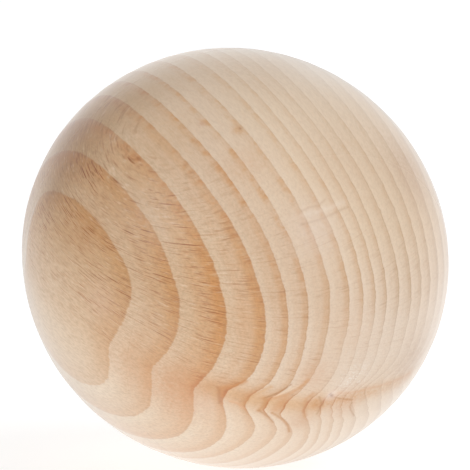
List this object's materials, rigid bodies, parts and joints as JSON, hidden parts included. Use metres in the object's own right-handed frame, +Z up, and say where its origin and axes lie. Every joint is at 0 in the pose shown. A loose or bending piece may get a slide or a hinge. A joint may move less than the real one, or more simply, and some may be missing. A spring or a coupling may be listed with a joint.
{
  "type": "wooden ball",
  "caption": "Solid turned wooden ball, unfinished, sanded smooth and slightly flattened across the grain.",
  "frame": {"origin": "centre of the ball", "axes": "+Z up, +Y along one of the full diameters, and the flattened axis leans 31 degrees from +Z towards +X; the front faces -Y"},
  "size_m": [0.0496, 0.05, 0.0488],
  "materials": {
    "raw_beech": "bare wood, sanded smooth, satin, with no oil or lacquer"
  },
  "bodies": {
    "root": {"ball": "raw_beech"}
  },
  "joints": []
}
